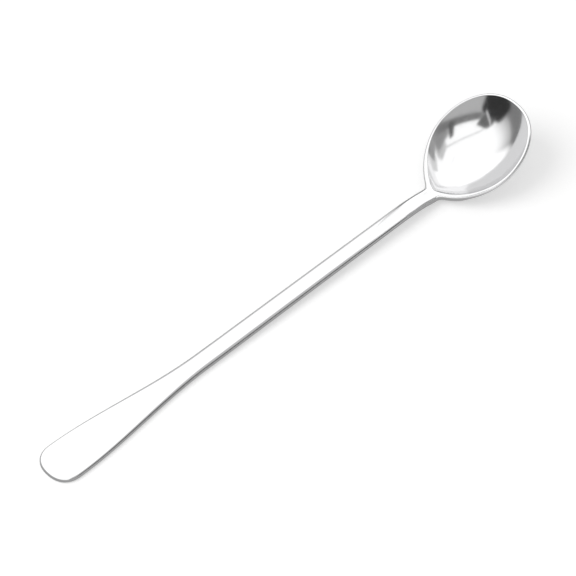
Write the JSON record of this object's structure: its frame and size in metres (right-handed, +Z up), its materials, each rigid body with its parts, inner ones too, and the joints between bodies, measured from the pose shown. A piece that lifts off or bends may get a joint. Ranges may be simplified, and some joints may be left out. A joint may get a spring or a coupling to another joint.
{
  "type": "iced tea spoon",
  "caption": "Long-handled iced tea spoon: a deep egg-shaped bowl tipped up on a slim stem that widens into a flat, round-ended grip.",
  "frame": {"origin": "centre of the spoon's box, on the table: halfway between the end of the grip and the tip of the bowl, on the middle line", "axes": "+X from the end of the grip towards the tip of the bowl, +Y across the spoon to its left, +Z up from the table, out of the bowl's mouth"},
  "size_m": [0.19, 0.031, 0.0177],
  "materials": {
    "polished_steel": "stainless steel, mirror polished, with faint hairline marks from the polishing wheel"
  },
  "bodies": {
    "root": {"bowl": "polished_steel", "handle": "polished_steel"}
  },
  "joints": []
}
